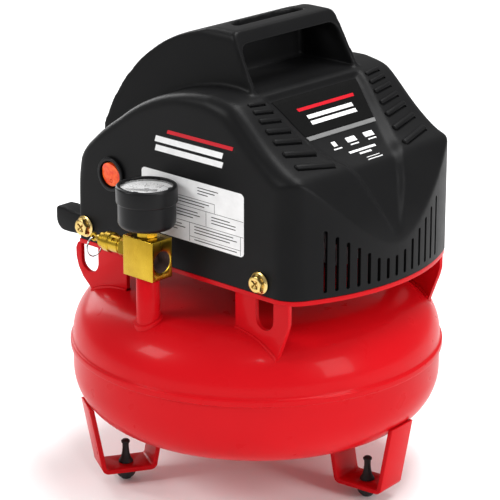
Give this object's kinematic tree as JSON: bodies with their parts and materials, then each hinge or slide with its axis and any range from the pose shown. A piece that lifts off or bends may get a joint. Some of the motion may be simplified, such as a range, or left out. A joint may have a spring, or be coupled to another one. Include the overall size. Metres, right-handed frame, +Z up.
{
  "type": "pancake air compressor",
  "caption": "Portable oil-free air compressor: flat round air tank on strap feet, moulded shroud with a grip, brass manifold with gauge and pull-ring safety valve.",
  "frame": {"origin": "axis of the round tank at the floor the feet stand on", "axes": "+Z up along the tank's axis; the control panel faces -Y; the vented hood faces +X"},
  "size_m": [0.25, 0.25, 0.314],
  "materials": {
    "red_paint": "gloss red enamel",
    "black_plastic": "satin black moulding",
    "rubber": "matte black",
    "brass": "machined",
    "yellow_zinc": "yellow zinc plate",
    "steel": "plain",
    "aluminium": "die cast",
    "copper": "varnished copper",
    "orange_plastic": "gloss",
    "dial": "printed metal face",
    "needle_black": "matte",
    "clear": "clear",
    "white_ptfe": "PTFE"
  },
  "bodies": {
    "compressor": {"tank_lower_shell": "red_paint", "tank_upper_shell": "red_paint", "drain_bung": "steel", "drain_cock_body": "brass", "foot_bracket_1": "red_paint", "foot_bracket_2": "red_paint", "foot_bracket_3": "red_paint", "rubber_foot_1": "rubber", "rubber_foot_2": "rubber", "rubber_foot_3": "rubber", "base_plate": "red_paint", "riser_pipe": "red_paint", "manifold_block": "brass", "gauge_stem": "brass", "gauge_case": "black_plastic", "gauge_bezel": "black_plastic", "gauge_dial": "dial", "gauge_lens": "clear", "safety_valve_body": "brass", "shroud": "black_plastic", "screw_rear_left": "yellow_zinc", "screw_front_left": "yellow_zinc", "screw_rear_right": "yellow_zinc", "screw_front_right": "yellow_zinc", "cord_cleat_left": "black_plastic", "cord_cleat_right": "black_plastic", "cord_gland": "black_plastic", "switch_bezel": "black_plastic", "motor_stator": "steel", "field_coil_front": "copper", "field_coil_rear": "copper", "shaft_bearing_front": "steel", "shaft_bearing_rear": "steel", "motor_bracket_front": "aluminium", "brush_holder_left": "brass", "brush_holder_right": "brass", "crankcase": "aluminium", "cylinder": "aluminium", "valve_plate": "steel", "cylinder_head": "aluminium", "intake_filter": "black_plastic", "discharge_tube": "copper", "check_valve": "brass", "pressure_switch": "black_plastic"},
    "rocker": {"switch_rocker": "orange_plastic"},
    "needle": {"gauge_needle": "needle_black"},
    "valve_stem": {"safety_valve_stem": "brass"},
    "pull_ring": {"safety_valve_ring": "steel"},
    "drain_stem": {"drain_cock_stem": "brass"},
    "shaft": {"motor_shaft": "steel", "armature": "steel", "commutator": "copper", "cooling_fan": "black_plastic", "eccentric": "steel"},
    "piston_rod": {"connecting_rod": "aluminium", "crank_bearing": "steel", "piston_cup": "white_ptfe"}
  },
  "joints": [
    {"name": "rocker_tilt", "type": "hinge", "parent": "compressor", "child": "rocker", "pos_m": [-0.0549, -0.0785, 0.212], "axis": [-1, 0, 0], "range_deg": [0, 14]},
    {"name": "needle_turn", "type": "hinge", "parent": "compressor", "child": "needle", "pos_m": [-0.001, -0.1005, 0.216], "axis": [0, 0, -1], "range_deg": [0, 270], "stiffness_Nm_per_rad": 0.0002},
    {"name": "valve_pull", "type": "slide", "parent": "compressor", "child": "valve_stem", "axis": [-1, 0, 0], "range_m": [0, 0.0025], "stiffness_N_per_m": 3000},
    {"name": "ring_swing", "type": "hinge", "parent": "valve_stem", "child": "pull_ring", "pos_m": [-0.05, -0.1005, 0.1755], "axis": [0, 1, 0], "range_deg": [0, 90]},
    {"name": "drain_turn", "type": "hinge", "parent": "compressor", "child": "drain_stem", "pos_m": [0, 0, 0.028], "axis": [0, 0, 1], "range_deg": [0, 360]},
    {"name": "shaft_spin", "type": "hinge", "parent": "compressor", "child": "shaft", "pos_m": [0.03, 0, 0.202], "axis": [1, 0, 0], "continuous": true},
    {"name": "rod_swing", "type": "hinge", "parent": "shaft", "child": "piston_rod", "pos_m": [-0.033, 0, 0.207], "axis": [1, 0, 0], "continuous": true}
  ],
  "couplings": [
    {"joint": "rod_swing", "follows": "shaft_spin", "ratio": -1}
  ]
}
